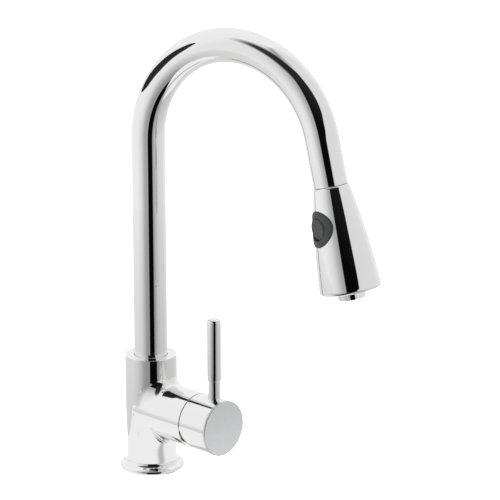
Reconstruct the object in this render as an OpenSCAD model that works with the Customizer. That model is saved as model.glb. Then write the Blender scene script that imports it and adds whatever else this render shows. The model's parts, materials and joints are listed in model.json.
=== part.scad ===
// Pull-down kitchen faucet with a front lever. Millimetres, +Z up, +X towards the lever,
// origin on the worktop at the centre of the foot.

/* [Spout] */
// Outside radius of the spout tube
tube_r = 14; // [12:0.5:15]
// Wall of the spout tube
tube_wall = 1.2; // [1:0.1:1.6]
// Radius of the arch's centre line
arch_r = 84.7; // [70:0.1:100]
// Height at which the arch springs from the leg
spring_z = 287.4; // [240:0.1:320]
// Degrees that the arch turns through
arch_turn = 166.7; // [150:0.1:175]
// Straight length between the arch and the spray head
nose_len = 38; // [30:1:50]
// Turn of the spout from straight ahead, at rest
spout_turn = 10.1; // [-90:0.1:90]

/* [Body] */
// Radius of the upright body
body_r = 21.9; // [20:0.1:23]
// Height of the body's top face
body_top = 100; // [95:1:110]
// Radius of the lever branch
branch_r = 23.3; // [22:0.1:24]
// Height of the branch's axis
branch_z = 53.4; // [50:0.1:58]
// Distance of the branch's end face from the body's axis
branch_end = 55.1; // [50:0.1:60]
// Radius of the foot's rim
foot_r = 27.6; // [26:0.1:30]

/* [Lever] */
// Distance of the hub's front disc from the body's axis
hub_end = 85.4; // [80:0.1:92]
// Distance of the pin lever from the body's axis
lever_x = 74.4; // [72:0.1:76]
// Height of the pin lever's top
lever_top = 146; // [120:1:170]
// Height at which the pin lever thickens
lever_step = 93.2; // [88:0.1:100]
// Radius of the thick part of the pin lever
lever_r = 5.7; // [5:0.1:7]
// Furthest tilt of the lever, in degrees
tilt_max = 20; // [10:1:22]

/* [Spray head] */
// Length of the chrome shell
head_len = 85.2; // [75:0.1:95]
// Shell radius at the top
head_top_r = 14.6; // [14:0.1:15]
// Shell radius at the rim
head_rim_r = 25.1; // [22:0.1:27]
// Bulge of the shell's side beyond a straight cone
head_bulge = 1.4; // [0:0.1:3]
// Radius of the button's round bezel
bezel_r = 14.5; // [12:0.1:15]
// Distance of the button's centre below the shell's top
button_t = 31.5; // [28:0.5:36]
// Turn of the button round the head, from straight ahead
button_turn = -116.5; // [-180:0.5:180]
// Radius of the push button
button_r = 8.8; // [7:0.1:10]

/* [Below the worktop] */
// Worktop thickness left between the foot and the clamp
deck_gap = 30; // [10:1:40]
// Radius of the M8 fixing stud
stud_r = 4; // [3.9:0.1:4]

/* [Hidden] */
$fn = 96;
RUN = 0.05;                    // running clearance of a shaft in its bush
SEAM = 0.02;                   // hairline between the lengths of a bent tube
tube_in = tube_r - tube_wall;
hose_r = 5.25;
insert_r = 17;
insert_low = -3;
port_pcr = 11.4;               // ports and stud lie round the hose
stud_x = -12.4;
port_r = 4.46;                 // M10 x 1 core radius
ports = [[port_pcr * cos(60), port_pcr * sin(60)], [port_pcr * cos(60), -port_pcr * sin(60)], [port_pcr, 0]];
bush_r = 16;
well_z = 63.6;                 // floor of the spout's well in the body
tube_low = 80;
pivot_x = 55.4;                // the lever tilts about a pin here
seat_x = 27;
seat_r = 17.6;
nut_r = 19;
clamp_z = -deck_gap;
flare_top = 11.2;              // the foot ends and the body starts here
gasket_ro = 24.4;
gasket_ri = 18.6;
hose_way = 5.9;                // passage for the hose
water_r = 3.2;
way_r = 3;                     // ways into the cartridge
insert_top = 14;
seal_ro = 4.6;
cartridge_r = 17.5;
turret_r = 11;
pin_r = 1.5;
grub_r = 2.5;
hex_r = 1.45;                  // hex socket of a grub screw
disc_t = 1.6;
hub_low = branch_end + 0.6;
hub_bore = 21;
hub_web = 79;
grub_x = 72.4;
stem_tip = 77.4;
stem_w = 7.2;
ball_arm = 9.2;
rim_round = 2.5;
wall = 2;
core_r = 8.2;
spool_r = 5.2;
spool_grooves = [-3.5, 2, 8];
screw_turns = [60, 180, 300];
screw_pcr = 16.5;
screw_r = 1.25;
nozzle_rows = [[24, 19.2], [16, 15.4]];   // how many, and how far out
nozzle_r = 0.8;
core_drop = head_len - 83;
nozzle_t = head_len + 6.5;

// A point on the shell's outside: radius at distance t below its top.
function shell_r(t) = head_top_r + (head_rim_r - head_top_r) * t / head_len
    + 4 * head_bulge * (t / head_len) * (1 - t / head_len);

// Frames that the moving groups are drawn in.
module along_branch() { translate([0, 0, branch_z]) rotate([0, 90, 0]) children(); }
module spout_frame() { rotate([0, 0, spout_turn]) children(); }
// Origin at the spout's nose, +Z back up along the nose.
module nose_frame() {
    spout_frame() at_arch_end() translate([0, 0, -nose_len]) children();
}
// +X out through the middle of the push button.
module button_frame() {
    nose_frame() rotate([0, 0, button_turn]) translate([0, 0, -button_t]) children();
}
module x_rod(r, x0, x1) { translate([x0, 0, 0]) rotate([0, 90, 0]) cylinder(r = r, h = x1 - x0); }
module z_rod(r, z0, z1) { translate([0, 0, z0]) cylinder(r = r, h = z1 - z0); }
module ring(ro, ri, z0, z1) {
    difference() {
        z_rod(ro, z0, z1);
        z_rod(ri, z0 - 1, z1 + 1);
    }
}
module torus(R, r) { rotate_extrude() translate([R, 0]) circle(r = r, $fn = 32); }

// ---- foot and body ----
module base_flange() {
    flare = [[body_r - 0.7, flare_top], [21.25, 9.4], [21.4, 7.8], [21.9, 6.3], [22.8, 5.1], [24, 4.2],
        [25.2, 3.6]];
    lip = [[foot_r - 1.5, 3.2], [foot_r - 0.7, 2.6], [foot_r - 0.2, 1.9], [foot_r, 1.2], [foot_r, 0.4],
        [foot_r - 0.4, 0]];
    color("gainsboro") difference() {
        rotate_extrude() polygon(concat([[insert_r, 0], [insert_r, flare_top]], flare, lip));
        ring(gasket_ro, gasket_ri, -1, 2);
    }
}
module base_gasket() { color("dimgray") ring(gasket_ro, gasket_ri, 0, 2); }

module body_skin() {
    rotate_extrude() polygon([[0, flare_top], [body_r - 0.7, flare_top], [body_r - 0.95, 19],
        [body_r - 0.55, 40], [body_r - 0.1, 58], [body_r, 66], [body_r, body_top - 0.5],
        [body_r - 0.5, body_top], [0, body_top]]);
    along_branch() {
        cylinder(r1 = body_r - 0.3, r2 = branch_r, h = 26);
        z_rod(branch_r, 26, branch_end);
    }
}
module faucet_body() {
    color("gainsboro") difference() {
        body_skin();
        z_rod(bush_r, well_z, body_top + 1);                 // well for the spout's foot
        z_rod(hose_way, 0, well_z + 1);
        z_rod(insert_r, 0, insert_top);                      // seat of the brass insert
        along_branch() {
            z_rod(seat_r, seat_x, branch_end + 1);
            z_rod(nut_r, 49, branch_end + 1);
        }
        for (s = [-1, 1]) {                                  // hot and cold ways
            translate([ports[0].x, s * ports[0].y, 0]) z_rod(water_r, 10, branch_z + 3);
            translate([0, s * ports[0].y, branch_z + 3]) x_rod(way_r, ports[0].x, seat_x + 1);
        }
        translate([port_pcr, 0, 0]) z_rod(water_r, 10, branch_z - 10);
        translate([0, 0, branch_z - 10]) x_rod(way_r, port_pcr, seat_x + 1);
        translate([0, 0, tube_low - 5]) x_rod(grub_r, -body_r - 1, -bush_r + 1);
    }
}
module inlet_insert() {
    color("goldenrod") difference() {
        z_rod(insert_r, insert_low, insert_top);
        z_rod(hose_way, insert_low - 1, insert_top + 1);
        for (p = ports) translate([p.x, p.y, 0]) {
            z_rod(port_r, insert_low - 1, 8);
            z_rod(water_r, 7, insert_top + 1);
        }
        translate([stud_x, 0, 0]) z_rod(stud_r, insert_low - 1, 10);
    }
}
module upper_glide_ring() {
    color("whitesmoke") union() {
        ring(bush_r, tube_r + RUN, body_top - 8, body_top);
        ring(bush_r - 0.7, tube_r + RUN, body_top - 0.5, body_top + 0.7);
    }
}
module lower_glide_ring() { color("whitesmoke") ring(bush_r, tube_r + RUN, well_z + 0.4, well_z + 7.4); }
module spout_grub_screw() {
    color("dimgray") translate([0, 0, tube_low - 5]) difference() {
        x_rod(grub_r, -body_r + 1, -13);
        translate([-body_r + 0.5, 0, 0]) rotate([0, 90, 0]) cylinder(r = hex_r, h = 3, $fn = 6);
    }
}

// ---- below the worktop ----
module fixing_stud() { color("silver") translate([stud_x, 0, 0]) z_rod(stud_r, clamp_z - 32, 10); }
module horseshoe(r, z0, z1, hole) {
    difference() {
        z_rod(r, z0, z1);
        translate([8, 0, z0 - 1]) cylinder(r = 15.5, h = z1 - z0 + 2);
        translate([8, -15.5, z0 - 1]) cube([r, 31, z1 - z0 + 2]);
        z_rod(6.5, z0 - 1, z1 + 1);
        translate([stud_x, 0, 0]) z_rod(hole, z0 - 1, z1 + 1);
    }
}
module clamp_gasket() { color("dimgray") horseshoe(25.5, clamp_z - 3, clamp_z, stud_r + 0.3); }
module clamp_plate() { color("silver") horseshoe(26.5, clamp_z - 6, clamp_z - 3, stud_r + 0.3); }
module clamp_nut() {
    color("goldenrod") translate([stud_x, 0, clamp_z - 22]) difference() {
        rotate([0, 0, 30]) cylinder(r = 7.2, h = 16, $fn = 6);
        z_rod(stud_r, -1, 17);
    }
}

// ---- mixing cartridge, on the branch's axis (drawn along +Z) ----
seal_places = [[-3, 9.87], [-3, -9.87], [10, 0]];   // in the branch's frame, +X is down
module at_seals() { for (p = seal_places) translate([p.x, p.y, 0]) children(); }
module cartridge_base() {
    color("whitesmoke") along_branch() difference() {
        z_rod(cartridge_r, seat_x, seat_x + 5);
        at_seals() z_rod(way_r, seat_x - 1, seat_x + 6);
        at_seals() z_rod(seal_ro, seat_x - 1, seat_x + 1.6);
    }
}
module cartridge_seals() {
    color("dimgray") along_branch() at_seals() ring(seal_ro, way_r, seat_x, seat_x + 1.6);
}
module fixed_disc() {
    color("ivory") along_branch() difference() {
        z_rod(14.5, seat_x + 5, seat_x + 9.5);
        at_seals() z_rod(2.6, seat_x + 4, seat_x + 10);
    }
}
module moving_disc() {
    color("ivory") along_branch() difference() {
        z_rod(10.6, seat_x + 9.6, seat_x + 13.6);
        translate([2, 0, 0]) z_rod(5.5, seat_x + 9, seat_x + 11.6);
    }
}
module disc_carrier() {
    color("steelblue") along_branch() difference() {
        z_rod(turret_r, seat_x + 13.6, 48.4);
        z_rod(3.6, 42.4, 49);
    }
}
module cartridge_housing() {
    color("whitesmoke") along_branch() difference() {
        union() {
            z_rod(cartridge_r, seat_x + 5, 50);
            z_rod(14, 49, 57.6);
        }
        z_rod(14.6, seat_x + 4, 49.2);
        z_rod(12.9, 49, 51.6);
        z_rod(turret_r, 51, 58);
    }
}
module cartridge_nut() {
    color("goldenrod") along_branch() union() {
        ring(nut_r, 14.1, 50, branch_end);
        ring(18.2, 14.1, branch_end - 1, 57.2);
    }
}
module cartridge_dome() {
    color("gainsboro") translate([pivot_x, 0, branch_z]) difference() {
        sphere(r = 20.4);
        sphere(r = 18.9);
        translate([branch_end - pivot_x - 30, -30, -30]) cube([30, 60, 60]);
        translate([9.6, -30, -30]) cube([30, 60, 60]);
    }
}
module cartridge_turret() {
    color("steelblue") along_branch() difference() {
        union() {
            z_rod(turret_r - RUN, 51, 60);
            z_rod(12.6, 48.8, 51.3);
        }
        translate([-6.4, -stem_w / 2 - RUN, 48]) cube([12.8, stem_w + 2 * RUN, 13]);
        translate([0, -15, pivot_x]) rotate([-90, 0, 0]) cylinder(r = pin_r, h = 30);
    }
}
module stem_pin() {
    color("silver") translate([pivot_x, -10.4, branch_z]) rotate([-90, 0, 0]) cylinder(r = pin_r, h = 20.8);
}

// ---- lever ----
module lever_stem() {
    color("silver") translate([pivot_x, 0, branch_z]) difference() {
        union() {
            translate([-ball_arm, 0, 0]) sphere(r = 3.2);
            x_rod(2.3, -ball_arm, -4);
            translate([-4.4, -stem_w / 2, -stem_w / 2]) cube([stem_tip - pivot_x + 4.4, stem_w, stem_w]);
        }
        translate([0, -10, 0]) rotate([-90, 0, 0]) cylinder(r = pin_r + RUN, h = 20);
    }
}
module lever_hub() {
    color("gainsboro") difference() {
        union() {
            along_branch() difference() {
                z_rod(branch_r, hub_low, hub_end - disc_t);
                z_rod(hub_bore, hub_low - 1, hub_web);
            }
            along_branch() z_rod(8, 68, hub_web + 1);
            translate([lever_x, 0, branch_z]) z_rod(4.9, 5, 21.6);
        }
        along_branch() translate([-stem_w / 2, -stem_w / 2, 60]) cube([stem_w, stem_w, stem_tip - 60]);
        translate([lever_x, 0, branch_z]) z_rod(3, 12, 30);
        translate([lever_x, 0, branch_z]) z_rod(5, 22.7, 30);
        translate([grub_x, 0, branch_z]) z_rod(grub_r, -12, 0);
        translate([grub_x, 0, branch_z]) z_rod(water_r, -30, -15);
        // relief that lets the hub's underside swing back
        translate([hub_low, 0, branch_z]) rotate([0, 90 - tilt_max - 1.5, 0]) translate([0, -30, -40])
            cube([40, 60, 40]);
    }
}
module hub_disc() {
    color("silver") along_branch() {
        z_rod(branch_r, hub_end - disc_t, hub_end - 0.5);
        translate([0, 0, hub_end - 0.5]) cylinder(r1 = branch_r, r2 = branch_r - 0.5, h = 0.5);
    }
}
module lever_grub_screw() {
    color("dimgray") translate([grub_x, 0, branch_z]) difference() {
        z_rod(grub_r, -10.6, -stem_w / 2);
        translate([0, 0, -12]) cylinder(r = hex_r, h = 3.5, $fn = 6);
    }
}
module grub_plug() { color("gray") translate([grub_x, 0, branch_z]) z_rod(water_r, -23, -20.8); }
module pin_lever() {
    color("gainsboro") translate([lever_x, 0, 0]) {
        z_rod(3, branch_z + 14, branch_z + 22.7);
        z_rod(4.9, branch_z + 22.7, lever_step);
        rotate_extrude() polygon(concat(
            [[0, lever_step], [lever_r - 0.3, lever_step], [lever_r, lever_step + 0.3]],
            [for (a = [0:15:90]) [lever_r - 2 + 2 * cos(a), lever_top - 2 + 2 * sin(a)]], [[0, lever_top]]));
    }
}

// ---- spout ----
module at_arch_end() {
    translate([arch_r, 0, spring_z]) rotate([0, arch_turn - 180, 0]) translate([arch_r, 0, 0]) children();
}
module arch() {
    translate([arch_r, 0, spring_z]) rotate([90, 0, 0]) rotate([0, 0, 180 - arch_turn])
        rotate_extrude(angle = arch_turn) translate([arch_r, 0]) children();
}
// Leg, arch and nose in one piece. Each hairline seam is bridged inside the wall.
module bent_tube(ro, ri, z0, nose) {
    mid = (ro + ri) / 2;
    spigot = (ro - ri) / 6;
    ring(ro, ri, z0, spring_z - SEAM);
    ring(mid + spigot, mid - spigot, spring_z - 1, spring_z + 1);
    arch() difference() {
        circle(r = ro);
        circle(r = ri);
    }
    at_arch_end() ring(ro, ri, -nose, -SEAM);
    at_arch_end() ring(mid + spigot, mid - spigot, -1, 1);
}
module bent_rod(r, z0, nose) {
    z_rod(r, z0, spring_z - SEAM);
    z_rod(r / 2, spring_z - 2, spring_z + 2);
    arch() circle(r = r);
    at_arch_end() z_rod(r, -nose, -SEAM);
    at_arch_end() z_rod(r / 2, -2, 2);
}
module spout_tube() { color("gainsboro") spout_frame() bent_tube(tube_r, tube_in, tube_low, nose_len); }
module spout_foot() {
    color("goldenrod") difference() {
        union() {
            z_rod(tube_r, well_z + 0.4, tube_low - 8.2);
            z_rod(12.6, tube_low - 9, tube_low - 1);
            z_rod(tube_r, tube_low - 1.8, tube_low);
            z_rod(tube_in, tube_low - 1, tube_low + 12);
        }
        z_rod(8.5, 0, body_top);
    }
}
module docking_bush() {
    color("whitesmoke") nose_frame() difference() {
        z_rod(tube_in, 0, 20);
        z_rod(8.6, -2, 21);
        translate([0, 0, -1]) cylinder(r1 = 13, r2 = 8.6, h = 11);
    }
}
module hose_run() { color("slategray") spout_frame() bent_rod(hose_r, -52, 4); }
module hose_inlet() {
    color("goldenrod") difference() {
        union() {
            z_rod(5.75, -66, -52);
            z_rod(5, -78, -65);
        }
        z_rod(water_r, -79, -54);
    }
}

// ---- spray head, drawn down from the spout's nose ----
module hose_tail() { color("slategray") nose_frame() z_rod(hose_r, 13, nose_len - 4); }
module hose_ferrule() {
    color("goldenrod") nose_frame() difference() {
        union() {
            z_rod(5.75, 1, 13);
            z_rod(4.6, -9, 2);
            z_rod(6.6, -11, -9);
        }
        z_rod(water_r, -12, 11);
    }
}
module head_neck() {
    color("whitesmoke") nose_frame() difference() {
        union() {
            translate([0, 0, -0.4]) cylinder(r1 = 12.3, r2 = 8.2, h = 10.2);
            z_rod(11.2, -13, -0.4);
        }
        z_rod(4.6 + RUN, -14, 10);
        z_rod(6.05, 0.7, 11);
        z_rod(6.9, -14, -8.7);
    }
}
module hose_washer() { color("dimgray") nose_frame() ring(6.8, water_r, -13, -11.3); }
module check_valve() { color("steelblue") nose_frame() ring(4.9, 2.6, -25, -15); }
module low_frame() { nose_frame() translate([0, 0, -core_drop]) children(); }
module at_screws() { for (a = screw_turns) rotate([0, 0, a]) translate([screw_pcr, 0, 0]) children(); }
module head_core() {
    color("whitesmoke") difference() {
        union() {
            nose_frame() z_rod(core_r, -66 - core_drop, -13);
            button_frame() x_rod(core_r, -11, 13);
            nose_frame() z_rod(shell_r(66 + core_drop) - wall - 0.1, -70 - core_drop, -66 - core_drop);
            nose_frame() z_rod(12.5, -75.5 - core_drop, -66 - core_drop);
        }
        nose_frame() z_rod(4.9, -25, -12);
        nose_frame() z_rod(3.5, -68 - core_drop, -24);
        nose_frame() z_rod(9.6, -76 - core_drop, -67.5 - core_drop);
        button_frame() x_rod(5.6, -9, 14);
        low_frame() at_screws() z_rod(screw_r, -71, -65);
    }
}
module shell_solid(inset, t0, t1) {
    steps = 12;
    rotate_extrude() polygon(concat([[0, -t0]],
        [for (i = [0:steps]) let (t = t0 + (t1 - t0) * i / steps) [shell_r(t) - inset, -t]], [[0, -t1]]));
}
module head_shell() {
    body_t = head_len - rim_round;
    rim_r = shell_r(head_len);
    color("gainsboro") difference() {
        nose_frame() {
            shell_solid(0, 0.3, body_t);
            rotate_extrude() polygon(concat([[0, -body_t]],
                [for (a = [0:15:90])
                    [shell_r(body_t) - rim_round * (1 - cos(a)), -body_t - rim_round * sin(a)]],
                [[0, -head_len]]));
        }
        nose_frame() {
            shell_solid(wall, 4, head_len + 2);
            z_rod(12.4, -5, 1);
        }
        button_frame() x_rod(bezel_r - 1, 0, 40);
    }
}
module button_bezel() {
    color("dimgray") difference() {
        intersection() {
            nose_frame() shell_solid(-1, 5, 60);
            button_frame() x_rod(bezel_r, 12, 30);
        }
        difference() {
            nose_frame() shell_solid(0, 4, 61);
            button_frame() x_rod(bezel_r - 1.02, 0, 40);
        }
        nose_frame() shell_solid(2.2, 4, 61);
        button_frame() x_rod(button_r + 0.3, 0, 40);
    }
}
module push_button() {
    color("dimgray") button_frame() union() {
        x_rod(button_r, 17, 19.5);
        translate([19.5, 0, 0]) rotate([0, 90, 0]) cylinder(r1 = button_r, r2 = button_r - 0.6, h = 0.6);
        x_rod(2, 13, 17.5);
    }
}
module diverter_spool() {
    color("goldenrod") button_frame() difference() {
        x_rod(spool_r, -5.5, 13);
        for (x = spool_grooves) translate([x, 0, 0]) rotate([0, 90, 0]) torus(spool_r, 0.9);
    }
}
module spool_seals() {
    color("dimgray") button_frame() for (x = spool_grooves) translate([x, 0, 0]) rotate([0, 90, 0])
        difference() {
            torus(spool_r - 0.2, 0.55);
            z_rod(spool_r - 0.5, -2, 2);
        }
}
module button_spring() {
    color("silver") button_frame() for (x = [13.8, 15.2, 16.6])
        translate([x, 0, 0]) rotate([0, 90, 0]) torus(4.4, 0.35);
}
module at_nozzles() {
    for (row = nozzle_rows, n = [0:row[0] - 1])
        rotate([0, 0, n * 360 / row[0]]) translate([row[1], 0, 0]) children();
}
module spray_plate() {
    color("gray") low_frame() difference() {
        z_rod(shell_r(77 + core_drop) - wall - 0.3, -80.5, -76.5);
        z_rod(12.5, -82, -70);
        at_nozzles() z_rod(nozzle_r, -82, -76);
    }
}
module spray_nozzles() { color("dimgray") low_frame() at_nozzles() ring(nozzle_r, 0.35, -81.3, -76.5); }
module aerator_ring() {
    color("gainsboro") nose_frame() union() {
        ring(11.4, 9.9, -nozzle_t + 1.6, -80.5 - core_drop);
        ring(12.5, 9.9, -80.5 - core_drop, -75.5 - core_drop);
        ring(10.9, 9.9, -nozzle_t, -nozzle_t + 1.7);
    }
}
module aerator_insert() {
    color("silver") nose_frame() difference() {
        z_rod(9.9, -nozzle_t + 1.2, -77 - core_drop);
        for (i = [-3:3], j = [-3:3]) if (i * i + j * j < 11)
            translate([i * 2.3 - 0.8, j * 2.3 - 0.8, -nozzle_t]) cube([1.6, 1.6, 16]);
    }
}
module head_screws() {
    color("silver") low_frame() at_screws() {
        z_rod(screw_r, -70, -64);
        z_rod(2.3, -71.6, -70);
    }
}

base_flange();
base_gasket();
faucet_body();
inlet_insert();
fixing_stud();
clamp_gasket();
clamp_plate();
clamp_nut();
upper_glide_ring();
lower_glide_ring();
spout_grub_screw();
cartridge_base();
cartridge_seals();
fixed_disc();
moving_disc();
disc_carrier();
cartridge_housing();
cartridge_nut();
cartridge_dome();
cartridge_turret();
stem_pin();
lever_stem();
lever_hub();
hub_disc();
lever_grub_screw();
grub_plug();
pin_lever();
spout_tube();
spout_foot();
docking_bush();
hose_run();
hose_inlet();
hose_tail();
hose_ferrule();
head_neck();
hose_washer();
check_valve();
head_core();
head_shell();
button_bezel();
push_button();
diverter_spool();
spool_seals();
button_spring();
spray_plate();
spray_nozzles();
aerator_ring();
aerator_insert();
head_screws();
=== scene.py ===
import json
import bmesh
import bpy
import numpy as np
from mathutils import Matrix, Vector


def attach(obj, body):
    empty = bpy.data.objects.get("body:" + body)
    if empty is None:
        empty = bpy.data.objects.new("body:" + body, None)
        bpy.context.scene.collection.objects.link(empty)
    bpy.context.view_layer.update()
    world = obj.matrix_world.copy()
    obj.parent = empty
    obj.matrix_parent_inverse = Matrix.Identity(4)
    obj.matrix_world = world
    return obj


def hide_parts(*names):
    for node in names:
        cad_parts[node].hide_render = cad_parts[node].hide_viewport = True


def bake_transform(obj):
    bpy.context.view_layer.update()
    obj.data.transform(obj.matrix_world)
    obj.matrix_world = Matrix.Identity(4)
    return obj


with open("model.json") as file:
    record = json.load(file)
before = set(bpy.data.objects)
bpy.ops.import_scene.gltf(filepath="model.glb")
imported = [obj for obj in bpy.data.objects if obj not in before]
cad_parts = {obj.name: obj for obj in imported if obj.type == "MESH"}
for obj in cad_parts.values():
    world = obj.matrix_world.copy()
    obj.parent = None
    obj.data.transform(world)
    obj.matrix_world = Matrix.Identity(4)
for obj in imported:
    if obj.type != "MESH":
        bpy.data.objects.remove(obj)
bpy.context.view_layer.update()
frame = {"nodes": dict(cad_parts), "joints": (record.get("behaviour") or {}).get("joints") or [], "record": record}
joints = {j["name"]: j for j in frame["joints"]}
mm = 0.001
turn = 2 * np.pi


# where things are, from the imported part
upright = np.array([0.0, 0.0, 1.0])
noseTip = np.array(joints["head_spin"]["pos_m"])       # the spray head docks here
noseUp = np.array(joints["head_spin"]["axis"])         # back up along the spout's nose
spoutOut = -np.array([noseUp[0], noseUp[1], 0.0])
spoutOut /= np.linalg.norm(spoutOut)                   # the way the spout reaches
spoutSide = np.cross(upright, spoutOut)
buttonOut = -np.array(joints["button_press"]["axis"])
leverPivot = np.array(joints["lever_tilt"]["pos_m"])
branchHeight = leverPivot[2] / mm


# mesh helpers
def smoothStep(t):
    # 3t^2 - 2t^3 between 0 and 1, flat outside
    t = np.clip(t, 0.0, 1.0)
    return t * t * (3 - 2 * t)


def roundedOutline(corners, steps=6):
    # each corner (a, b, radius) of an open outline becomes an arc that touches both of its sides
    points = [np.array(c[:2], float) for c in corners]
    out = [points[0][None]]
    for before, here, after, corner in zip(points, points[1:], points[2:], corners[1:]):
        toBefore, toAfter = before - here, after - here
        reach = min(np.linalg.norm(toBefore), np.linalg.norm(toAfter)) * 0.49
        toBefore, toAfter = toBefore / np.linalg.norm(toBefore), toAfter / np.linalg.norm(toAfter)
        half = np.arccos(np.clip(toBefore @ toAfter, -1, 1)) / 2
        if corner[2] == 0 or half > 1.55:
            out.append(here[None])
            continue
        cut = min(corner[2] / np.tan(half), reach)
        radius = cut * np.tan(half)
        middle = here + (toBefore + toAfter) / np.linalg.norm(toBefore + toAfter) * radius / np.sin(half)
        start, end = here + toBefore * cut - middle, here + toAfter * cut - middle
        t = np.linspace(0, 1, steps + 1)[:, None]
        swing = np.pi - 2 * half
        arc = (np.sin((1 - t) * swing) * start + np.sin(t * swing) * end) / np.sin(swing)
        out.append(middle + arc)
    out.append(points[-1][None])
    return np.concatenate(out)


def denser(outline, step):
    # points put in along the straight runs of an outline, no further apart than step
    out = []
    for here, after in zip(outline, outline[1:]):
        count = max(int(np.ceil(np.linalg.norm(after - here) / step)), 1)
        out.append(here + (after - here) * np.linspace(0, 1, count, endpoint=False)[:, None])
    out.append(outline[-1:])
    return np.concatenate(out)


def turnedGrid(outline, angles):
    # an outline of (radius, height) carried round +Z: x = r cos a, y = r sin a, z = h
    r, h = outline[:, 0][:, None], outline[:, 1][:, None]
    return np.stack([r * np.cos(angles), r * np.sin(angles), h + 0 * angles], -1)


def placed(grid, across, along, origin=(0, 0, 0)):
    # a grid in millimetres drawn round +Z, put with its Z along `along` and its X along `across`
    along = np.array(along, float) / np.linalg.norm(along)
    across = np.array(across, float) - np.dot(across, along) * along
    across /= np.linalg.norm(across)
    axes = np.stack([across, np.cross(along, across), along])
    return np.array(origin) + grid @ axes * mm


def wholeTurn(count):
    return np.linspace(0, turn, count + 1)


def gridFaces(shape, first):
    rows, columns = shape
    i = first + np.arange(rows * columns).reshape(rows, columns)
    return np.stack([i[:-1, :-1], i[:-1, 1:], i[1:, 1:], i[1:, :-1]], -1).reshape(-1, 4)


def makePiece(name, grids, body, nodes, finish, sharp=32, weld=2e-7):
    # grids in metres become one closed mesh: their shared edges are welded and their faces turned outwards
    points, faces, first = [], [], 0
    for g in grids:
        points.append(g.reshape(-1, 3))
        faces.append(gridFaces(g.shape[:2], first))
        first += g.shape[0] * g.shape[1]
    mesh = bpy.data.meshes.new(name)
    mesh.from_pydata(np.concatenate(points), [], np.concatenate(faces))
    bm = bmesh.new()
    bm.from_mesh(mesh)
    bmesh.ops.remove_doubles(bm, verts=bm.verts, dist=weld)
    bmesh.ops.dissolve_degenerate(bm, edges=bm.edges, dist=weld)
    bmesh.ops.recalc_face_normals(bm, faces=bm.faces)
    openEdges = sum(not e.is_manifold for e in bm.edges)
    bm.to_mesh(mesh)
    bm.free()
    mesh.shade_smooth()
    mesh.set_sharp_from_angle(angle=np.radians(sharp))
    piece = bpy.data.objects.new(name, mesh)
    bpy.context.scene.collection.objects.link(piece)
    mesh.materials.append(finish)
    if body:
        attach(piece, body)
    if nodes:
        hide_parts(*nodes)
    print("piece", name, len(mesh.polygons), "faces", openEdges, "open edges")
    return piece


# finishes
class Wire:
    # one output of a node; sums on it add Math nodes to the same tree
    def __init__(self, tree, socket=None):
        self.tree, self.socket = tree, socket

    def node(self, kind, sockets=(), out=0, stops=None, **settings):
        n = self.tree.nodes.new(kind)
        for key, value in settings.items():
            setattr(n, key, value)
        if stops:
            ramp = n.color_ramp
            while len(ramp.elements) < len(stops):
                ramp.elements.new(0.5)
            for element, (place, value) in zip(ramp.elements, stops):
                element.position = place
                element.color = (*value, 1) if isinstance(value, tuple) else (value, value, value, 1)
        for key, value in dict(sockets).items():
            if isinstance(value, Wire):
                self.tree.links.new(value.socket, n.inputs[key])
            else:
                n.inputs[key].default_value = value
        return Wire(self.tree, n.outputs[out])

    def maths(self, operation, *others):
        return self.node("ShaderNodeMath", enumerate([self, *others]), operation=operation)

    def __add__(self, other):
        return self.maths("ADD", other)

    def __sub__(self, other):
        return self.maths("SUBTRACT", other)

    def __mul__(self, other):
        return self.maths("MULTIPLY", other)

    def __truediv__(self, other):
        return self.maths("DIVIDE", other)

    def __rsub__(self, other):
        return (self * -1) + other

    __radd__, __rmul__ = __add__, __mul__

    def into(self, socket):
        self.tree.links.new(self.socket, socket)

    def tint(self, dark, light):
        # a colour between two, by this value
        return self.node("ShaderNodeMix", {0: self, 6: (*dark, 1), 7: (*light, 1)}, out=2, data_type="RGBA")

    def within(self, width):
        # 0 to 1 across a soft edge of this width, centred where the value is 0
        return (self / width + 0.5).maths("MINIMUM", 1).maths("MAXIMUM", 0)

    def read(self, line):
        # the value on a line through (place, level) points
        low, high = line[0][0], line[-1][0]
        stops = [((place - low) / (high - low), level) for place, level in line]
        return self.node("ShaderNodeValToRGB", {0: (self - low) / (high - low)}, stops=stops)

    def parts(self):
        return [self.node("ShaderNodeSeparateXYZ", {0: self}, out=i) for i in range(3)]

    def noise(self, scale, detail=3.0, rough=0.5):
        sockets = {"Vector": self, "Scale": scale, "Detail": detail, "Roughness": rough}
        return self.node("ShaderNodeTexNoise", sockets)

    def bump(self, height, strength, distance):
        return self.node("ShaderNodeBump", {"Height": height, "Strength": strength, "Distance": distance})


def newFinish(name, **fixed):
    # a Principled material and the Object coordinates that its pattern reads
    material = bpy.data.materials.new(name)
    material.use_nodes = True
    shader = material.node_tree.nodes["Principled BSDF"]
    for key, value in fixed.items():
        shader.inputs[key.replace("_", " ")].default_value = value
    start = Wire(material.node_tree)
    return material, shader, start.node("ShaderNodeTexCoord", out="Object")


def chromeFinish():
    look = {"deep": (0.83, 0.83, 0.828), "bright": (0.89, 0.89, 0.888), "polish": 0.018, "haze": 0.03}
    material, shader, at = newFinish("mirrorChrome", Metallic=1.0)
    haze = at.noise(38, 4, 0.6)
    film = at.noise(9, 2)
    film.tint(look["deep"], look["bright"]).into(shader.inputs["Base Color"])
    (haze * haze * look["haze"] + look["polish"]).into(shader.inputs["Roughness"])
    return material


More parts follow.
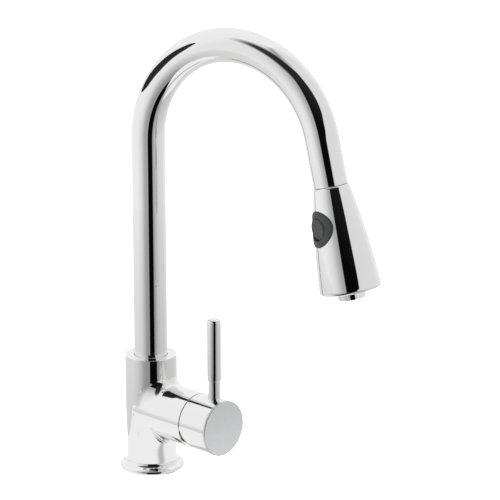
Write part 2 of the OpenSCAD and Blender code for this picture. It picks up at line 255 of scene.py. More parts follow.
def satinFinish():
    look = {"deep": (0.66, 0.665, 0.67), "bright": (0.79, 0.795, 0.80), "ringPitch": 0.00022}
    material, shader, at = newFinish("satinDisc", Metallic=1.0)
    y, z = at.parts()[1:]
    up = z - branchHeight * mm
    radius = (y * y + up * up).maths("SQRT")
    rings = (radius * (turn / look["ringPitch"]) + at.noise(60) * 9).maths("SINE") * 0.5 + 0.5
    tone = rings * 0.5 + at.noise(420, 5) * 0.5
    tone.tint(look["deep"], look["bright"]).into(shader.inputs["Base Color"])
    (rings * 0.1 + at.noise(150) * 0.1 + 0.36).into(shader.inputs["Roughness"])
    at.bump(rings, 0.25, 0.00002).into(shader.inputs["Normal"])
    return material


def metalFinish(name, deep, bright, rough, toolPitch=0.0004):
    # machined metal: fine turning marks across Z, patchy oxide
    material, shader, at = newFinish(name, Metallic=1.0)
    z = at.parts()[2]
    marks = (z * (turn / toolPitch) + at.noise(300) * 5).maths("SINE") * 0.5 + 0.5
    patches = at.noise(120, 5, 0.6)
    (marks * 0.25 + patches * 0.75).tint(deep, bright).into(shader.inputs["Base Color"])
    (patches * 0.22 + rough).into(shader.inputs["Roughness"])
    at.bump(marks, 0.2, 0.00003).into(shader.inputs["Normal"])
    return material


def mouldedFinish(name, deep, bright, rough, grain=1600, depth=0.00005, **fixed):
    # moulded plastic or rubber: spark-eroded grain, slight flow marks
    material, shader, at = newFinish(name, **fixed)
    pits = at.noise(grain, 3, 0.6)
    flow = at.noise(70, 3)
    (pits * 0.35 + flow * 0.65).tint(deep, bright).into(shader.inputs["Base Color"])
    (pits * 0.18 + rough).into(shader.inputs["Roughness"])
    at.bump(pits, 0.5, depth).into(shader.inputs["Normal"])
    return material


def braidFinish(name, axisTurn, axisPlace):
    # two sets of yarns that wind opposite ways round a hose whose axis is brought onto Z
    look = {"deep": (0.03, 0.032, 0.036), "bright": (0.20, 0.21, 0.23), "yarns": 24, "lay": 0.011}
    material, shader, at = newFinish(name, Roughness=0.5)
    sockets = {"Vector": at, "Location": axisPlace, "Rotation": axisTurn}
    x, y, z = at.node("ShaderNodeMapping", sockets, vector_type="TEXTURE").parts()
    wind = y.maths("ARCTAN2", x) * (look["yarns"] / 2)
    rise = z * (turn * look["yarns"] / 2 / look["lay"])
    oneWay = (wind + rise).maths("SINE")
    otherWay = (wind - rise).maths("SINE")
    over = (oneWay * otherWay) * 0.5 + 0.5
    yarn = oneWay.maths("MAXIMUM", otherWay) * 0.5 + 0.5
    (over * 0.5 + yarn * 0.5).tint(look["deep"], look["bright"]).into(shader.inputs["Base Color"])
    at.bump(yarn * 0.7 + over * 0.3, 0.8, 0.0003).into(shader.inputs["Normal"])
    return material


chrome = chromeFinish()
satin = satinFinish()
brass = metalFinish("machinedBrass", (0.55, 0.38, 0.15), (0.80, 0.62, 0.32), 0.22)
zincSteel = metalFinish("zincSteel", (0.42, 0.43, 0.45), (0.66, 0.67, 0.68), 0.28)
stainless = metalFinish("stainless", (0.56, 0.56, 0.57), (0.74, 0.74, 0.75), 0.2)
rubber = mouldedFinish("sealRubber", (0.012, 0.012, 0.014), (0.03, 0.03, 0.032), 0.55)
silicone = mouldedFinish("nozzleSilicone", (0.09, 0.095, 0.1), (0.14, 0.145, 0.15), 0.5, 2400)
acetal = mouldedFinish("whiteAcetal", (0.74, 0.74, 0.72), (0.86, 0.86, 0.84), 0.3, 900, 0.00002)
blueAcetal = mouldedFinish("blueAcetal", (0.06, 0.14, 0.30), (0.10, 0.21, 0.40), 0.32, 900, 0.00002)
buttonPlastic = mouldedFinish("buttonPlastic", (0.019, 0.021, 0.0215), (0.034, 0.037, 0.038), 0.34, 2600,
                              0.00004)
facePlastic = mouldedFinish("facePlastic", (0.16, 0.165, 0.17), (0.24, 0.245, 0.25), 0.38, 1800, 0.00004)
ceramic = mouldedFinish("lappedCeramic", (0.84, 0.83, 0.78), (0.93, 0.92, 0.88), 0.12, 3000, 0.00001,
                        Coat_Weight=0.3)
hoseBraid = braidFinish("hoseBraid", (0, 0, 0), (0, 0, 0))
tailTurn = Vector(noseUp).to_track_quat("Z", "Y").to_euler()
tailBraid = braidFinish("tailBraid", tailTurn, tuple(noseTip))
slotFinish = {"chrome": chrome, "hub_face": satin, "brass": brass, "steel": zincSteel,
              "stainless": stainless, "black_rubber": rubber, "grey_rubber": silicone,
              "white_plastic": acetal, "blue_plastic": blueAcetal, "button_plastic": buttonPlastic,
              "face_plastic": facePlastic, "ceramic": ceramic, "hose_braid": hoseBraid}
for part in frame["record"]["subparts"]:
    node = frame["nodes"][part["node"]]
    node.data.materials.clear()
    node.data.materials.append(slotFinish[part["material_slot"]])
print("finishes done")


# foot
foot = {"bodyRadius": 21.2, "joinHeight": 11.2,
        "flare": [(21.25, 9.4), (21.4, 7.8), (21.9, 6.3), (22.8, 5.1), (24.0, 4.2), (25.2, 3.6)],
        "lip": [(25.2, 3.6, 0), (27.0, 3.0, 1.6), (27.6, 1.2, 1.2), (27.6, 0.3, 0.4), (27.2, 0, 0.3),
                (24.4, 0, 0)],
        "underside": [(24.4, 1.95), (18.6, 1.95), (18.6, 0), (17, 0)], "steps": 72, "softness": 9}


def makeFoot():
    # the flare's points are joined by straight lines, each point of which then becomes the weighted
    # mean of its neighbours; the rim drops from there to the worktop
    knots = np.array([(foot["bodyRadius"], foot["joinHeight"]), *foot["flare"]])
    reach = foot["softness"]
    fine = np.linspace(0, len(knots) - 1, foot["steps"] + 1)
    weights = np.hanning(2 * reach + 3)[1:-1]
    weights /= weights.sum()
    soft = []
    for values in knots.T:
        line = np.interp(fine, np.arange(len(knots)), values)
        soft.append(np.convolve(np.pad(line, reach, "edge"), weights, "valid"))
    soft = np.array(soft).T
    soft[0], soft[-1] = knots[0], knots[-1]
    bore = foot["underside"][-1][0]
    inside = np.array([*foot["underside"], (bore, foot["joinHeight"]), knots[0]])
    outline = np.concatenate([soft, roundedOutline(foot["lip"])[1:], inside])
    makePiece("footFlange", [placed(turnedGrid(outline, wholeTurn(160)), (1, 0, 0), upright)],
              "base", ["base_flange"], chrome)


makeFoot()


# body and lever branch
body = {"radius": 21.9, "waist": 20.95, "waistHeight": 19, "straightAbove": 66, "low": 11.2,
        "lowRadius": 21.2, "top": 100, "topEdge": 0.7, "well": 16, "lip": 14.25, "wellFloor": 63.6,
        "hoseWay": 5.9, "insertRadius": 17, "insertTop": 14,
        "branchRadius": 23.3, "branchSwell": 26, "branchEnd": 55.1, "branchEdge": 0.4,
        "mouth": 19, "mouthFloor": 49, "seat": 17.6, "seatFloor": 27,
        "upperFillet": 5.0, "underFillet": 8.0, "sideBlend": 7.0}


def columnRadius(z):
    # straight at the top, eased in to the waist, and eased out to the foot
    waistShare = (body["straightAbove"] - z) / (body["straightAbove"] - body["waistHeight"])
    footShare = (body["waistHeight"] - z) / (body["waistHeight"] - body["low"])
    above = body["radius"] - (body["radius"] - body["waist"]) * smoothStep(waistShare)
    return above + (body["lowRadius"] - body["waist"]) * smoothStep(footShare)


def branchRadius(x):
    # as wide as the column where it leaves it, and eased out to its own radius
    return body["radius"] + (body["branchRadius"] - body["radius"]) * smoothStep(x / body["branchSwell"])


def unit(v):
    return v / np.maximum(np.linalg.norm(v, axis=-1, keepdims=True), 1e-12)


def blendSide(side, fillet, a):
    # the line where column and branch would meet, one foot of the fillet on each, and between them a
    # cubic curve that leaves each surface flush: (1-v)^3 p + 3 (1-v)^2 v q + 3 (1-v) v^2 r + v^3 s
    z = np.full_like(a, branchHeight)
    for _ in range(12):
        r = columnRadius(z)
        x, y = r * np.cos(a), r * np.sin(a)
        b = branchRadius(x)
        z = branchHeight + side * np.sqrt(np.maximum(b * b - y * y, 0))
    line = np.stack([x, y, z], -1)
    along = unit(np.gradient(line, axis=0))
    columnOut = np.stack([np.cos(a), np.sin(a), 0 * a], -1)
    branchOut = unit(np.stack([0 * a, y, z - branchHeight], -1))
    branchOut[0], branchOut[-1] = columnOut[0], columnOut[-1]
    upColumn = unit(np.cross(along, columnOut))
    upColumn *= np.sign(upColumn[:, 2:] * side + 1e-12)
    downBranch = unit(np.cross(along, branchOut))
    downBranch *= np.sign(downBranch[:, :1] + 1e-12)
    bend = np.arccos(np.clip((columnOut * branchOut).sum(-1, keepdims=True), -1, 1))
    wider = body["sideBlend"] * np.sin(2 * np.abs(a))[:, None]     # softer where the two sides meet
    reach = (fillet * np.tan(bend / 2) + wider) * smoothStep(np.cos(a) * 2)[:, None]
    onColumn = line + upColumn * reach
    az, height = np.arctan2(onColumn[:, 1], onColumn[:, 0]), onColumn[:, 2]
    r = columnRadius(height)
    onColumn = np.stack([r * np.cos(az), r * np.sin(az), height], -1)
    onBranch = line + downBranch * reach
    roll, start = np.arctan2(onBranch[:, 1], onBranch[:, 2] - branchHeight), onBranch[:, 0]
    r = branchRadius(start)
    onBranch = np.stack([start, r * np.sin(roll), branchHeight + r * np.cos(roll)], -1)
    pull = reach / np.maximum(np.tan(bend / 2), 1e-9) * 4 / 3 * np.tan(bend / 4)
    v = np.linspace(0, 1, 17)[:, None, None]
    arc = ((1 - v) ** 3 * onColumn + 3 * (1 - v) ** 2 * v * (onColumn - upColumn * pull)
           + 3 * (1 - v) * v ** 2 * (onBranch - downBranch * pull) + v ** 3 * onBranch)
    return az, height, roll, start, arc


def makeBody():
    # column: x = r cos a, y = r sin a; branch: y = r sin a, z = branchHeight + r cos a
    half = np.linspace(-np.pi / 2, np.pi / 2, 161)
    back = np.linspace(np.pi / 2, 3 * np.pi / 2, 121)[1:]
    evenAz = np.concatenate([half, back])
    flat = np.full(len(back), branchHeight)
    grids, rolls, starts = [], [], []
    for side, fillet, far in ((1, body["upperFillet"], body["top"] - body["topEdge"]),
                              (-1, body["underFillet"], body["low"])):
        az, height, roll, start, arc = blendSide(side, fillet, half)
        az[0], az[-1] = half[0], half[-1]
        grids.append(arc * mm)
        ringAz, ringZ = np.concatenate([az, back]), np.concatenate([height, flat])
        v = np.linspace(0, 1, 61)[:, None]
        z = ringZ + (far - ringZ) * v
        a = ringAz + (evenAz - ringAz) * smoothStep(v * 1.5)
        r = columnRadius(z)
        grids.append(np.stack([r * np.cos(a), r * np.sin(a), z], -1) * mm)
        rolls.append(roll if side > 0 else (turn / 2 + np.unwrap(roll - np.pi))[::-1] % turn)
        starts.append(start if side > 0 else start[::-1])
    evenRoll = np.concatenate([half, half[1:] + np.pi])
    rolls[0][0], rolls[0][-1], rolls[1][0], rolls[1][-1] = half[0], half[-1], half[-1], half[0] + turn
    ringRoll, ringX = np.concatenate([rolls[0], rolls[1][1:]]), np.concatenate([starts[0], starts[1][1:]])
    v = np.linspace(0, 1, 41)[:, None]
    end = body["branchEnd"] - body["branchEdge"]
    x = ringX + (end - ringX) * v
    a = ringRoll + (evenRoll - ringRoll) * smoothStep(v * 1.5)
    r = branchRadius(x)
    grids.append(np.stack([x, r * np.sin(a), branchHeight + r * np.cos(a)], -1) * mm)
    mouth = roundedOutline([(body["branchRadius"], end, 0), (body["branchRadius"], body["branchEnd"], 0.35),
                            (body["mouth"], body["branchEnd"], 0), (body["mouth"], body["mouthFloor"], 0),
                            (body["seat"], body["mouthFloor"], 0), (body["seat"], body["seatFloor"], 0),
                            (0, body["seatFloor"], 0)])
    r, x = mouth[:, 0][:, None], mouth[:, 1][:, None] + 0 * evenRoll
    grids.append(np.stack([x, r * np.sin(evenRoll), branchHeight + r * np.cos(evenRoll)], -1) * mm)
    edge = body["top"] - body["topEdge"]
    shoulder = roundedOutline([(body["radius"], edge, 0), (body["radius"], body["top"], 0.65),
                               (body["lip"] + 0.2, body["top"], 0), (body["lip"], body["top"] - 0.2, 0),
                               (body["lip"], edge, 0), (body["well"], edge, 0),
                               (body["well"], body["wellFloor"], 0), (body["hoseWay"], body["wellFloor"], 0),
                               (body["hoseWay"], body["insertTop"], 0),
                               (body["insertRadius"], body["insertTop"], 0),
                               (body["insertRadius"], body["low"], 0), (body["lowRadius"], body["low"], 0)])
    grids.append(turnedGrid(shoulder, evenAz) * mm)
    makePiece("bodyAndBranch", grids, "base", ["faucet_body"], chrome, sharp=38, weld=2e-6)


makeBody()


# lever hub, its disc, the dome behind it, and the pin lever
hub = {"rear": 55.7, "front": 83.8, "radius": 23.3, "inside": 21, "web": 79, "reliefSlope": 0.394,
       "reliefEase": 2, "discFront": 85.4, "discStep": 0.5}


def makeHub():
    # the rear edge runs forward below the axis: x = rear + slope * depth, eased in
    roll = wholeTurn(240)
    outline = denser(roundedOutline([(0, hub["front"], 0), (hub["radius"], hub["front"], 0.2),
                                     (hub["radius"], hub["rear"], 0.35), (hub["inside"], hub["rear"], 0.2),
                                     (hub["inside"], hub["web"], 0.5), (0, hub["web"], 0)]), 1.5)
    r, x = outline[:, 0][:, None], outline[:, 1][:, None]
    up = r * np.cos(roll)
    depth = np.maximum(-up, 0)
    ease = hub["reliefEase"]
    depth = np.where(depth < ease, depth * depth / (2 * ease), depth - ease / 2)
    share = np.clip((hub["web"] - x) / (hub["web"] - hub["rear"]), 0, 1)
    x = x + hub["reliefSlope"] * depth * share
    grid = np.stack([x, r * np.sin(roll), branchHeight + up], -1) * mm
    makePiece("leverHub", [grid], "lever", ["lever_hub"], chrome)
    face, step = hub["discFront"], hub["discStep"]
    disc = roundedOutline([(0, hub["front"], 0), (hub["radius"], hub["front"], 0.1),
                           (hub["radius"], face - step * 0.9, 0.15), (hub["radius"] - step, face, 0.12),
                           (0, face, 0)])
    grid = placed(turnedGrid(disc, wholeTurn(200)), upright, (1, 0, 0), (0, 0, branchHeight * mm))
    makePiece("hubDisc", [grid], "lever", ["hub_disc"], satin)


glideRing = {"outer": 15.9, "bore": 14.06, "mouth": 14.3, "low": 92, "top": 99.2}


def makeGlideRing():
    # the ring that the tube turns in, just below the body's top face
    low, top = glideRing["low"], glideRing["top"]
    section = np.array([(glideRing["outer"], top), (glideRing["outer"], low), (glideRing["bore"], low),
                        (glideRing["bore"], top - 0.3), (glideRing["mouth"], top), (glideRing["outer"], top)])
    makePiece("glideRing", [placed(turnedGrid(section, wholeTurn(128)), (1, 0, 0), upright)], "base",
              ["upper_glide_ring"], acetal)


dome = {"outer": 20.4, "inner": 18.9, "rear": 91, "front": 62}     # radii, then degrees off the axis


def makeDome():
    # a zone of a ball about the lever's pivot, with a wall: radius = R sin a, height = R cos a
    a = np.radians(np.linspace(dome["rear"], dome["front"], 30))
    zone = np.stack([np.sin(a), np.cos(a)], 1)
    outline = np.concatenate([zone * dome["outer"], zone[::-1] * dome["inner"], zone[:1] * dome["outer"]])
    makePiece("cartridgeDome", [placed(turnedGrid(outline, wholeTurn(160)), upright, (1, 0, 0), leverPivot)],
              "base", ["cartridge_dome"], chrome)


lever = {"x": 74.4, "root": 67.1, "shoulder": 73.6, "step": 93.2, "top": 146.0, "spigot": 3, "thin": 4.9,
         "thick": 5.7, "crown": 2.2}


def makeLever():
    outline = roundedOutline([(0, lever["root"], 0), (lever["spigot"], lever["root"], 0.2),
                              (lever["spigot"], lever["shoulder"], 0),
                              (lever["thin"], lever["shoulder"], 0.2), (lever["thin"], lever["step"], 0.05),
                              (lever["thick"], lever["step"], 0.25),
                              (lever["thick"], lever["top"], lever["crown"]), (0, lever["top"], 0)], 10)
    grid = placed(turnedGrid(denser(outline, 6), wholeTurn(96)), (1, 0, 0), upright, (lever["x"] * mm, 0, 0))
    makePiece("pinLever", [grid], "lever", ["pin_lever"], chrome)


makeGlideRing()
makeHub()
makeDome()
makeLever()
print("body and lever done")


# spout
spout = {"archRadius": 84.7, "springHeight": 287.4, "archTurn": 166.7, "nose": 38, "low": 80,
         "radius": 14, "bore": 12.8, "lip": 0.35}


def spoutLine(low, nose, step=2.0):
    # up the leg, round the arch, and down the nose: (reach, height) and the way it runs, at every step
    spring, radius, bend = spout["springHeight"], spout["archRadius"], np.radians(spout["archTurn"])
    z = np.linspace(low, spring, int((spring - low) / (step * 3)) + 2)
    leg = np.stack([0 * z, z, 0 * z, 0 * z + 1], 1)
    a = np.linspace(0, bend, int(bend * radius / step))[1:]
    arc = np.stack([radius * (1 - np.cos(a)), spring + radius * np.sin(a), np.sin(a), np.cos(a)], 1)
    d = np.linspace(0, nose, int(nose / (step * 2)) + 2)[1:, None]
    end = arc[-1]
    straight = np.concatenate([end[:2] + end[2:] * d, np.repeat(end[None, 2:], len(d), 0)], 1)
    return np.concatenate([leg, arc, straight])


def sweptGrid(line, radii, angles):
    # a circle of each radius carried along the line: centre + r (cos a * across + sin a * side)
    centre = line[:, :1] * spoutOut + line[:, 1:2] * upright
    across = line[:, 3:] * spoutOut - line[:, 2:3] * upright
    outward = np.cos(angles)[:, None] * across[:, None] + np.sin(angles)[:, None] * spoutSide
    return (centre[:, None] + radii[:, None, None] * outward) * mm


def makeSpout():
    line = spoutLine(spout["low"], spout["nose"])
    radius, lip = spout["radius"], spout["lip"]
    rim = spoutLine(spout["low"], spout["nose"] - lip)[-1:]
    path = np.concatenate([line[:-1], rim, line[-1:], line[-1:], line[::-1], line[:1]])
    radii = np.concatenate([np.full(len(line), radius), [radius - lip],
                            np.full(len(line) + 1, spout["bore"]), [radius]])
    makePiece("spoutTube", [sweptGrid(path, radii, wholeTurn(128))], "spout", ["spout_tube"],
              chrome)


hose = {"radius": 5.25, "low": -52, "nose": 4, "tailLow": 13, "tailHigh": 34, "grip": 1}


def makeHose():
    r, low, high, grip = hose["radius"], hose["tailLow"], hose["tailHigh"], hose["grip"]
    line = spoutLine(hose["low"], hose["nose"], 5)
    path = np.concatenate([line[:1], line, line[-1:]])
    radii = np.concatenate([[0], np.full(len(line), r), [0]])
    makePiece("hoseRun", [sweptGrid(path, radii, wholeTurn(48))], "spout", ["hose_run"],
              hoseBraid)
    tail = denser(np.array([(0, low), (r, low), (r, high), (0, high)], float), 1.0)
    piece = makePiece("hoseTail", [placed(turnedGrid(tail, wholeTurn(48)), spoutOut, noseUp, noseTip)],
                      None, ["hose_tail"], tailBraid)
    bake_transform(piece)


makeSpout()
makeHose()
print("spout done")


# spray head
head = {"length": 85.2, "topRadius": 14.6, "rimRadius": 25.1, "bulge": 1.4, "wall": 2, "rimRound": 2.5,
        "neck": [(12.4, -5), (12.4, -0.6), (12.7, -0.3), (14.1, -0.3), (14.4, -0.45)]}
button = {"down": 31.5, "radius": 8.8, "face": 20.1, "back": 17.0, "edge": 0.9, "bore": 9.1, "bezel": 14.5,
          "proud": 1.0, "sunk": 1.6, "hole": 11, "stem": 2, "stemLow": 13}
buttonPlace = noseTip - noseUp * button["down"] * mm


def shellRadius(t):
    # a cone from top to rim, plus a parabola that is zero at both ends
    s = t / head["length"]
    return head["topRadius"] + (head["rimRadius"] - head["topRadius"]) * s + 4 * head["bulge"] * s * (1 - s)


def makeShell():
    t = np.linspace(1.0, head["length"] - head["rimRound"], 60)
    side = np.stack([shellRadius(t), -t], 1)
    a = np.radians(np.linspace(0, 90, 14))[1:]
    rim = side[-1] - head["rimRound"] * np.stack([1 - np.cos(a), np.sin(a)], 1)
    t = np.linspace(head["length"] - 1.0, -head["neck"][0][1], 50)
    inner = np.stack([shellRadius(t) - head["wall"], -t], 1)
    mouth = rim[-1, 0] - 0.3
    inner[0, 0] = mouth
    outline = np.concatenate([side, rim, [(mouth, rim[-1, 1])], inner, head["neck"], side[:1]])
    piece = makePiece("headShell", [placed(turnedGrid(outline, wholeTurn(192)), spoutOut, noseUp, noseTip)],
                      "head", ["head_shell"], chrome)
    hole, low, high = button["hole"], 5, 40
    rod = turnedGrid(np.array([(0, low), (hole, low), (hole, high), (0, high)], float), wholeTurn(64))
    cutter = makePiece("shellCutter", [placed(rod, noseUp, buttonOut, buttonPlace)], "head", [],
                       chrome)
    drill = piece.modifiers.new("buttonHole", "BOOLEAN")
    drill.object, drill.operation, drill.solver = cutter, "DIFFERENCE", "EXACT"
    cut = bpy.data.meshes.new_from_object(piece.evaluated_get(bpy.context.evaluated_depsgraph_get()))
    piece.modifiers.clear()
    piece.data = cut
    bpy.data.objects.remove(cutter)


def makeBezel():
    # each ring of points has a radius from the button's middle and a lift off the shell:
    # height = sqrt((shell radius + lift)^2 - sideways^2)
    a = wholeTurn(160)
    bore, outer, proud, sunk = button["bore"], button["bezel"], button["proud"], button["sunk"]
    section = roundedOutline([(bore, -sunk, 0), (bore, proud + 0.25, 0.3), (outer - 0.5, proud, 0.6),
                              (outer, -0.1, 0.3), (outer - 0.8, -sunk, 0), (bore, -sunk, 0)])
    r, lift = section[:, 0][:, None], section[:, 1][:, None]
    along, sideways = r * np.cos(a), r * np.sin(a)
    reach = shellRadius(button["down"] - along) + lift
    height = np.sqrt(np.maximum(reach ** 2 - sideways ** 2, 0))
    grid = placed(np.stack([along, sideways, height], -1), noseUp, buttonOut, buttonPlace)
    makePiece("buttonBezel", [grid], "head", ["button_bezel"], buttonPlastic)


def makeButton():
    r, stem, back, face = button["radius"], button["stem"], button["back"], button["face"]
    cap = roundedOutline([(0, button["stemLow"], 0), (stem, button["stemLow"], 0), (stem, back, 0),
                          (r, back, 0.2), (r, face, button["edge"]), (0, face - 0.15, 0)], 10)
    grid = placed(turnedGrid(denser(cap, 1.2), wholeTurn(120)), noseUp, buttonOut, buttonPlace)
    makePiece("pushButton", [grid], "button", ["push_button"], buttonPlastic)


spring = {"radius": 4.4, "wire": 0.35, "coils": 2.6, "low": 13.5, "rise": 3.6}


def makeSpring():
    # a circle carried along the helix (R cos w, R sin w, low + rise * s), w = s * coils * turn
    s = np.linspace(0, 1, 260)
    wind = s * turn * spring["coils"]
    outward = np.stack([np.cos(wind), np.sin(wind), 0 * s], -1)
    centre = outward * spring["radius"] + (spring["low"] + spring["rise"] * s)[:, None] * upright
    b = wholeTurn(12)
    circle = np.cos(b)[:, None] * outward[:, None] + np.sin(b)[:, None] * upright
    tips = np.repeat(centre[[0, -1], None], len(b), 1)
    wire = np.concatenate([tips[:1], centre[:, None] + spring["wire"] * circle, tips[1:]])
    makePiece("buttonSpring", [placed(wire, noseUp, buttonOut, buttonPlace)], "button", ["button_spring"],
              stainless)


makeShell()
makeBezel()
makeButton()
makeSpring()
print("head done")


# camera
camera = {"place": (1.3453, -1.3102, 0.7079), "looksAlong": (-0.6600, 0.7028, -0.2659), "lens": 167.77,
          "sensor": 36, "nearest": 0.05, "furthest": 50}


def makeCamera():
    lens = bpy.data.cameras.new("camera")
    lens.sensor_width, lens.lens = camera["sensor"], camera["lens"]
    lens.clip_start, lens.clip_end = camera["nearest"], camera["furthest"]
    eye = bpy.data.objects.new("camera", lens)
    eye.location = camera["place"]
    eye.rotation_euler = Vector(camera["looksAlong"]).to_track_quat("-Z", "Y").to_euler()
    bpy.context.scene.collection.objects.link(eye)
    bpy.context.scene.camera = eye


makeCamera()


# the studio round it
studio = {"front": np.array([0.6845, -0.7290, 0.0]), "right": np.array([0.7290, 0.6845, 0.0]),
          "patch": [(210, -70), (-30, -90), (-75, -45), (-175, 10), (-165, 75), (-120, 150), (-50, 175),
                    (210, 175)],
          # the shadow painted on the near patch: its two bearings, each with its soft edge, and how much it
          # darkens the glow
          "patchLevel": 0.97, "shadowFrom": (26, 14), "shadowTo": (50, 14), "shadowDepth": 0.42,
          "wideFloor": 0.9, "wideLevel": 0.48, "wideRise": 0.5, "wideHeight": -20, "farFloor": 6.0,
          "white": 0.95, "floorGlow": 0.75, "below": -0.0004}
cloud = {"bearing": -25, "halfWidth": 62, "height": 49, "halfHeight": 21, "depth": 0.95}
# the unlit side of the room, towards the viewer: height in degrees, then the bearings of its two edges
unlit = [(-90, -24, 60), (-77, -24, 60), (-69, -31, 42), (-61, -27, 36), (-53, -12, 36), (-45, -4.5, 32),
         (-33, -4, 28), (-13, -3, 28), (-6, -17, 20), (3, -17.5, 23), (11, -17, 32), (19, -17, 36),
         (27, -18, 45), (35, -20, 48), (43, -25, 45), (49, -32, 40), (60, -32, 26), (64, 60, -60),
         (90, 60, -60)]
# how bright the white screens are by bearing, 0 towards the viewer and growing to the right
screens = [(-180, 0.98), (-80, 0.95), (-70, 0.90), (-60, 0.86), (-50, 0.78), (-40, 0.66), (-30, 0.50),
           (-15, 0.38), (20, 0.60), (30, 0.76), (43, 0.79), (70, 0.80), (110, 0.82), (150, 0.98), (180, 0.98)]
sideScreen = {"middle": (-0.067, -0.080, 0.369), "facing": (-0.79, -0.598, 0.139),
              "outline": [(-72, -12), (-76, -24), (-71, -40), (-49, -42), (6, -41), (40, -29), (49, -2),
                          (53, 17), (44, 56), (35, 65), (19, 65)], "level": 0.012}
# what dims them further, by bearing, below the horizon
lowRight = [(-180, 1.0), (0, 1.0), (20, 0.40), (28, 0.44), (40, 0.63), (50, 0.77), (60, 0.87), (80, 0.97),
            (180, 1.0)]


def stagePiece(name, points, glow, strength=1.0):
    # one flat face of the studio that gives off its own light
    mesh = bpy.data.meshes.new(name)
    mesh.from_pydata(points, [], [tuple(range(len(points)))])
    piece = bpy.data.objects.new(name, mesh)
    bpy.context.scene.collection.objects.link(piece)
    material, shader, at = newFinish(name, Roughness=1.0)
    shade = at.noise(3.0) * 0.01 + 0.99
    shader.inputs["Specular IOR Level"].default_value = 0
    shader.inputs["Base Color"].default_value = (glow, glow, glow, 1)
    (shade * glow).tint((0, 0, 0), (1, 1, 1)).into(shader.inputs["Emission Color"])
    shader.inputs["Emission Strength"].default_value = strength
    mesh.materials.append(material)
    return piece, shader, at


def reflectedOnly(piece):
    piece.visible_camera = piece.visible_diffuse = piece.visible_shadow = piece.visible_transmission = False


def roomLevel(bearing, height):
    # how bright the room is that way: white screens, a dim cloud, and the unlit side, with soft edges
    level = bearing.read(screens) * (1 - (1 - bearing.read(lowRight)) * (height + 6).within(-10))
    aside = (bearing - cloud["bearing"]) / cloud["halfWidth"]
    above = (height - cloud["height"]) / cloud["halfHeight"]
    inside = ((aside * aside + above * above).maths("SQRT") - 0.75).within(-0.5)
    level = level * (1 - inside * inside * (3 - inside * 2) * cloud["depth"])
    left = height.read([(h, e / 360 + 0.5) for h, e, f in unlit]) * 360 - 180
    other = height.read([(h, f / 360 + 0.5) for h, e, f in unlit]) * 360 - 180
    dark = (bearing - left).within(2.5) * (other - bearing).within(2.5)
    return level * (1 - dark) + dark * ((height - 30).within(40) * 0.02 + 0.003)


def bearingOf(x, y):
    # degrees round from the viewer's side, growing to the right
    front = x * float(studio["front"][0]) + y * float(studio["front"][1])
    right = x * float(studio["right"][0]) + y * float(studio["right"][1])
    return right.maths("ARCTAN2", front) * (360 / turn)


def makeWideFloor():
    # the worktop further out, which grows brighter with distance
    a = wholeTurn(96)[:-1]
    down = studio["below"] * upright
    rim = np.stack([np.cos(a), np.sin(a), 0 * a], -1) * studio["wideFloor"] + down
    wide, shader, at = stagePiece("wideFloor", rim, studio["white"])
    shader.inputs["Base Color"].default_value = (0, 0, 0, 1)
    x, y, z = at.parts()
    distance = (x * x + y * y).maths("SQRT")
    level = roomLevel(bearingOf(x, y), z * 0 + studio["wideHeight"])
    level = level * (distance.within(2 * studio["wideFloor"]) * studio["wideRise"] + studio["wideLevel"])
    level.tint((0, 0, 0), (1, 1, 1)).into(shader.inputs["Emission Color"])
    reflectedOnly(wide)


def makeNearPatch():
    # the bright worktop close by, with one band of painted shadow: the faucet's own shadow, painted as a darker
    # wedge of the patch's glow
    corners = np.array(studio["patch"], float) * mm
    down = studio["below"] / 2 * upright
    corners = corners[:, :1] * studio["right"] + corners[:, 1:] * studio["front"] + down
    near, shader, at = stagePiece("nearPatch", corners, studio["white"])
    shader.inputs["Base Color"].default_value = (0, 0, 0, 1)
    bearing = bearingOf(*at.parts()[:2])
    (start, startEdge), (end, endEdge) = studio["shadowFrom"], studio["shadowTo"]
    # painted shadow: the faucet's shadow on the worktop, a darker wedge between two bearings
    paintedShadow = (bearing - start).within(startEdge) * (end - bearing).within(endEdge)
    level = studio["patchLevel"] - paintedShadow * studio["shadowDepth"]
    level.tint((0, 0, 0), (1, 1, 1)).into(shader.inputs["Emission Color"])
    reflectedOnly(near)


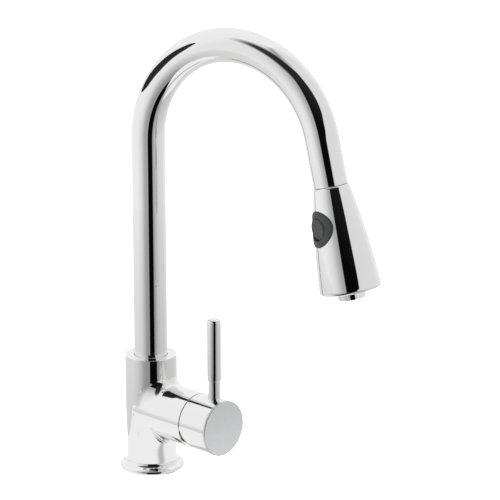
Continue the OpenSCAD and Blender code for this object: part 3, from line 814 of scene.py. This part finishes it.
def makeFloor():
    # the floor that the viewer sees; the chrome doesn't mirror it
    reach, low = studio["farFloor"], studio["below"]
    corners = [(-reach, -reach, low), (reach, -reach, low), (reach, reach, low), (-reach, reach, low)]
    floor = stagePiece("floor", corners, studio["white"], studio["floorGlow"])[0]
    floor.visible_glossy = False


def makeSideScreen():
    # a small dark screen beside the arch, which only the arch mirrors
    facing = np.array(sideScreen["facing"]) / np.linalg.norm(sideScreen["facing"])
    across = np.cross(upright, facing)
    across /= np.linalg.norm(across)
    outline = np.array(sideScreen["outline"], float) * mm
    points = outline[:, :1] * across + outline[:, 1:] * np.cross(facing, across) + sideScreen["middle"]
    reflectedOnly(stagePiece("sideScreen", points, sideScreen["level"])[0])


def makeWorld():
    # the chrome sees the screens; everything else is lit evenly
    world = bpy.data.worlds.new("studioLight")
    bpy.context.scene.world = world
    world.use_nodes = True
    start = Wire(world.node_tree)
    x, y, z = start.node("ShaderNodeTexCoord", out="Generated").parts()
    level = roomLevel(bearingOf(x, y), z.maths("ARCSINE") * (360 / turn))
    glossy = start.node("ShaderNodeLightPath", out="Is Glossy Ray")
    colour = (level * glossy + (1 - glossy)).tint((0, 0, 0), (1, 1, 1))
    colour.into(world.node_tree.nodes["Background"].inputs["Color"])


softbox = {"size": 0.9, "power": 7, "front": 0.9, "left": 0.8, "height": 1.5, "aimsAt": (0, 0, 0.2)}


def makeLamp():
    lamp = bpy.data.lights.new("softbox", "AREA")
    lamp.shape, lamp.size, lamp.energy = "DISK", softbox["size"], softbox["power"]
    light = bpy.data.objects.new("softbox", lamp)
    light.location = Vector(studio["front"] * softbox["front"] - studio["right"] * softbox["left"]
                            + upright * softbox["height"])
    light.rotation_euler = (Vector(softbox["aimsAt"]) - light.location).to_track_quat("-Z", "Y").to_euler()
    light.visible_glossy = False
    bpy.context.scene.collection.objects.link(light)


bpy.context.scene.view_settings.view_transform = "Standard"
makeWideFloor()
makeNearPatch()
makeFloor()
makeSideScreen()
makeWorld()
makeLamp()
print("studio done")
